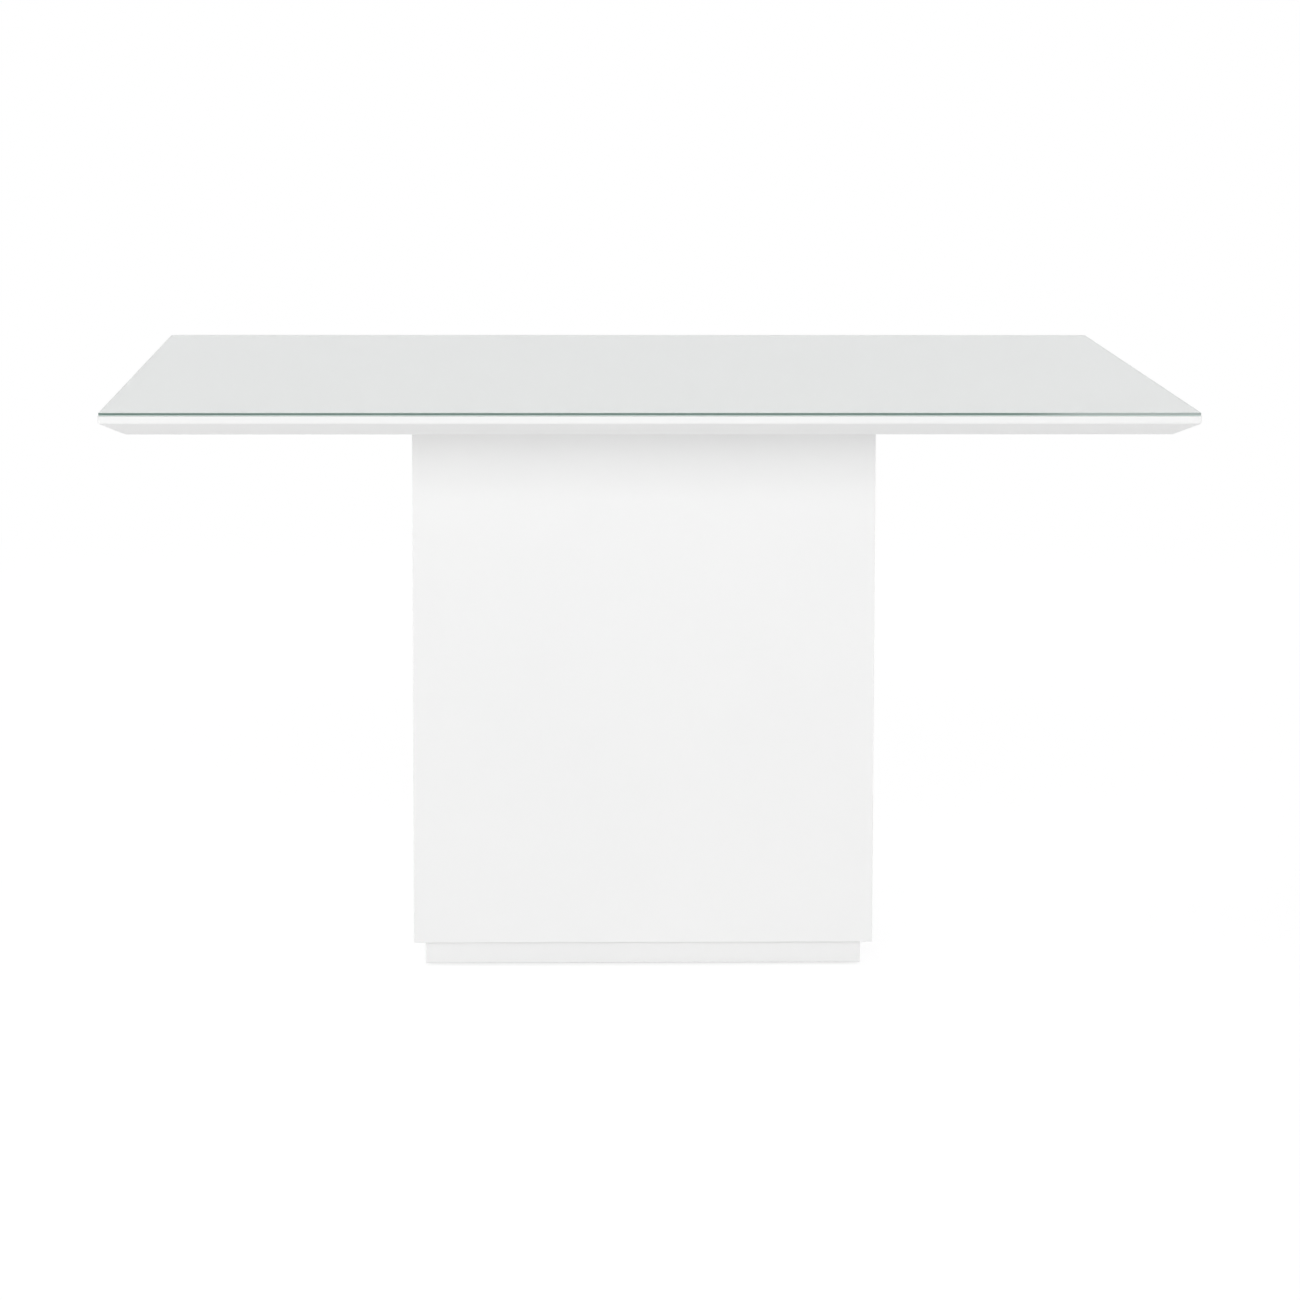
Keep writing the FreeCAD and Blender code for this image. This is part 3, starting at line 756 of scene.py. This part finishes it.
def make_floor():
    """Pale floor, shown as white with a faint shadow of the table, and clear from below."""
    mesh = bpy.data.meshes.new("floor")
    bm = bmesh.new()
    bmesh.ops.create_circle(bm, cap_ends=True, segments=FLOOR_SEGMENTS, radius=FLOOR_RADIUS)
    bm.to_mesh(mesh)
    bm.free()
    material = bpy.data.materials.new("floor")
    material.use_nodes = True
    nodes = Nodes(material.node_tree)
    lit = nodes.add("ShaderNodeBsdfDiffuse", {"Color": FLOOR_COLOUR})
    geometry = nodes.add("ShaderNodeNewGeometry").outputs
    distance = nodes.add("ShaderNodeVectorMath", {"Vector": geometry["Position"]}, operation="LENGTH")
    share = nodes.span(distance.outputs["Value"], FLOOR_SHADOW_SHARE, 0.0, *FLOOR_SHADOW_FADE, smooth=True)
    glow = nodes.add("ShaderNodeEmission", {"Strength": nodes.maths("SUBTRACT", 1.0, share)})
    shade = nodes.maths("DIVIDE", share, FLOOR_LEVEL)
    caught = nodes.add("ShaderNodeBsdfDiffuse", {"Color": shade})
    background = nodes.add("ShaderNodeAddShader")
    nodes.feed(background.inputs[0], glow.outputs[0])
    nodes.feed(background.inputs[1], caught.outputs[0])
    above = nodes.mixed(nodes.shown(), lit, background)
    clear = nodes.add("ShaderNodeBsdfTransparent")
    surface = nodes.mixed(geometry["Backfacing"], above, clear)
    nodes.add("ShaderNodeOutputMaterial", {"Surface": surface.outputs[0]})
    mesh.materials.append(material)
    floor = bpy.data.objects.new("floor", mesh)
    floor.location.z = -FLOOR_DROP
    scene.collection.objects.link(floor)


def make_world():
    """White for the camera, the tones of the studio for gloss and glass, and an even glow for the rest."""
    world = bpy.data.worlds.new("studio")
    world.use_nodes = True
    nodes = Nodes(world.node_tree)
    fill = nodes.add("ShaderNodeBackground", {"Color": WHITE, "Strength": WORLD_FILL})
    white = nodes.add("ShaderNodeBackground", {"Color": WHITE, "Strength": 1.0})
    way = nodes.add("ShaderNodeTexCoord").outputs["Generated"]
    rise = nodes.add("ShaderNodeSeparateXYZ", {"Vector": way}).outputs["Z"]
    peak = max(tone for _, tone in STUDIO_TONES)
    tones = nodes.ramp(rise, *((place, (tone / peak,) * 3) for place, tone in STUDIO_TONES))
    studio = nodes.add("ShaderNodeBackground", {"Color": tones, "Strength": peak})
    around = nodes.mixed(nodes.shown(), fill, studio)
    camera_ray = nodes.add("ShaderNodeLightPath").outputs["Is Camera Ray"]
    surface = nodes.mixed(camera_ray, around, white)
    nodes.add("ShaderNodeOutputWorld", {"Surface": surface.outputs[0]})
    scene.world = world


def make_lights():
    """Softboxes that light the table and don't show in its gloss or through its glass."""
    for side, outward in OUTWARD.items():
        for part, (power, low, high) in BANK.items():
            light = bpy.data.lights.new(f"{side}_{part}", "AREA")
            light.energy = BANK_SHARE[side] * power
            light.shape = "RECTANGLE"
            light.size = BANK_WIDTH
            light.size_y = high - low
            lamp = bpy.data.objects.new(light.name, light)
            lamp.location = outward * BANK_DISTANCE + Vector((0, 0, (low + high) / 2))
            lamp.rotation_euler = (-outward).to_track_quat("-Z", "Y").to_euler()
            lamp.visible_glossy = False
            lamp.visible_transmission = False
            scene.collection.objects.link(lamp)


def make_camera():
    lens = bpy.data.cameras.new("camera")
    lens.sensor_width = SENSOR_WIDTH
    lens.lens = SENSOR_WIDTH * FOCAL_PIXELS / FRAME_PIXELS
    lens.clip_end = 2 * FLOOR_RADIUS
    camera = bpy.data.objects.new("camera", lens)
    aim = Euler((math.pi / 2 - CAMERA_PITCH, 0, -CAMERA_YAW)).to_matrix().to_4x4()
    roll = Matrix.Rotation(CAMERA_ROLL, 4, "Z")
    camera.matrix_world = Matrix.Translation(CAMERA_PLACE) @ aim @ roll
    scene.collection.objects.link(camera)
    scene.camera = camera


lacquer = white_lacquer()
bare_board = raw_mdf()
make_top(lacquer, float_glass())
make_column(lacquer, bare_board)
finish_framing(bare_board)
make_fasteners()
make_floor()
make_world()
make_lights()
make_camera()

scene.view_settings.view_transform = "Standard"
